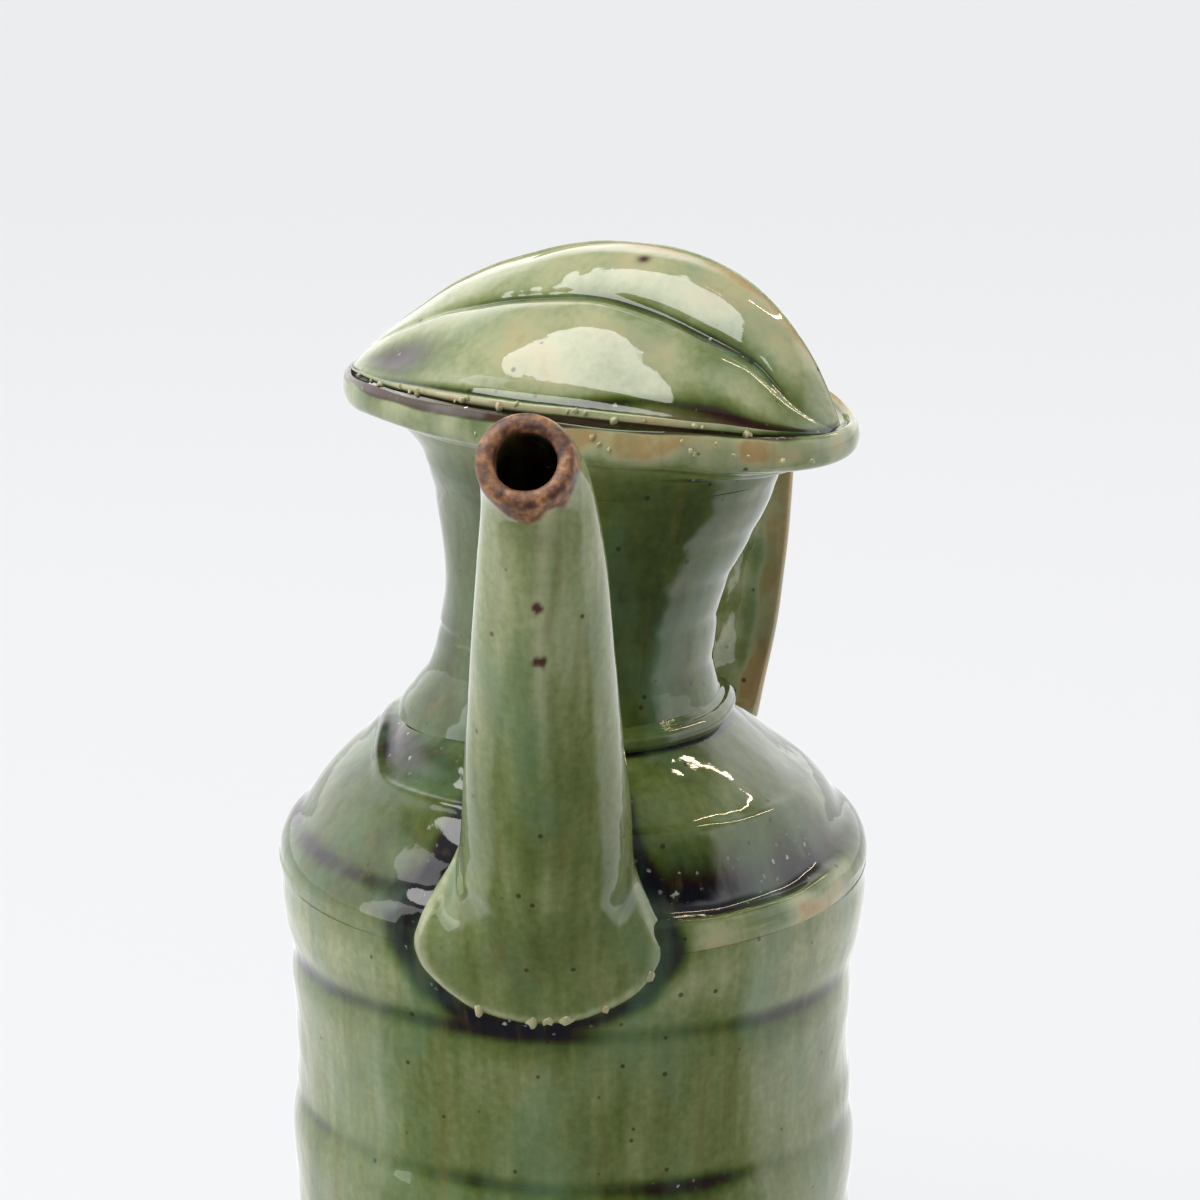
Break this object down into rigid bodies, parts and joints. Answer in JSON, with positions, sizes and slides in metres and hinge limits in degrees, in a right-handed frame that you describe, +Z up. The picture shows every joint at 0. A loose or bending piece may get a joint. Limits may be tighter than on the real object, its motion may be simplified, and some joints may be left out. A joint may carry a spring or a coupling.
{
  "type": "ceramic pitcher",
  "caption": "Celadon-glazed stoneware oil pitcher: ringed cylinder body, waisted neck, oval lip under a folded hood, slim upright tube spout and a strap handle.",
  "frame": {"origin": "centre of the flat base, on the surface that the pitcher stands on", "axes": "+Z up the pot's axis, -Y the way the spout points, +X to the pot's right seen from the spout"},
  "size_m": [0.0952, 0.1232, 0.2136],
  "materials": {
    "celadon_glaze": "glossy grey-green iron glaze with brown pools and dark iron specks",
    "pale_celadon_glaze": "glossy glaze worn thin and pale over ridges and edges, brown in the grooves",
    "dark_celadon_glaze": "glossy glaze run thick and dark, nearly blue-black where it pools",
    "bare_stoneware": "unglazed iron-bearing stoneware, toasted by the firing"
  },
  "bodies": {
    "root": {"foot": "bare_stoneware", "body_wall": "celadon_glaze", "shoulder": "dark_celadon_glaze", "neck_collar": "dark_celadon_glaze", "neck": "celadon_glaze", "mouth_flange": "pale_celadon_glaze", "hood": "pale_celadon_glaze", "spout": "celadon_glaze", "spout_root": "celadon_glaze", "handle": "celadon_glaze"}
  },
  "joints": []
}
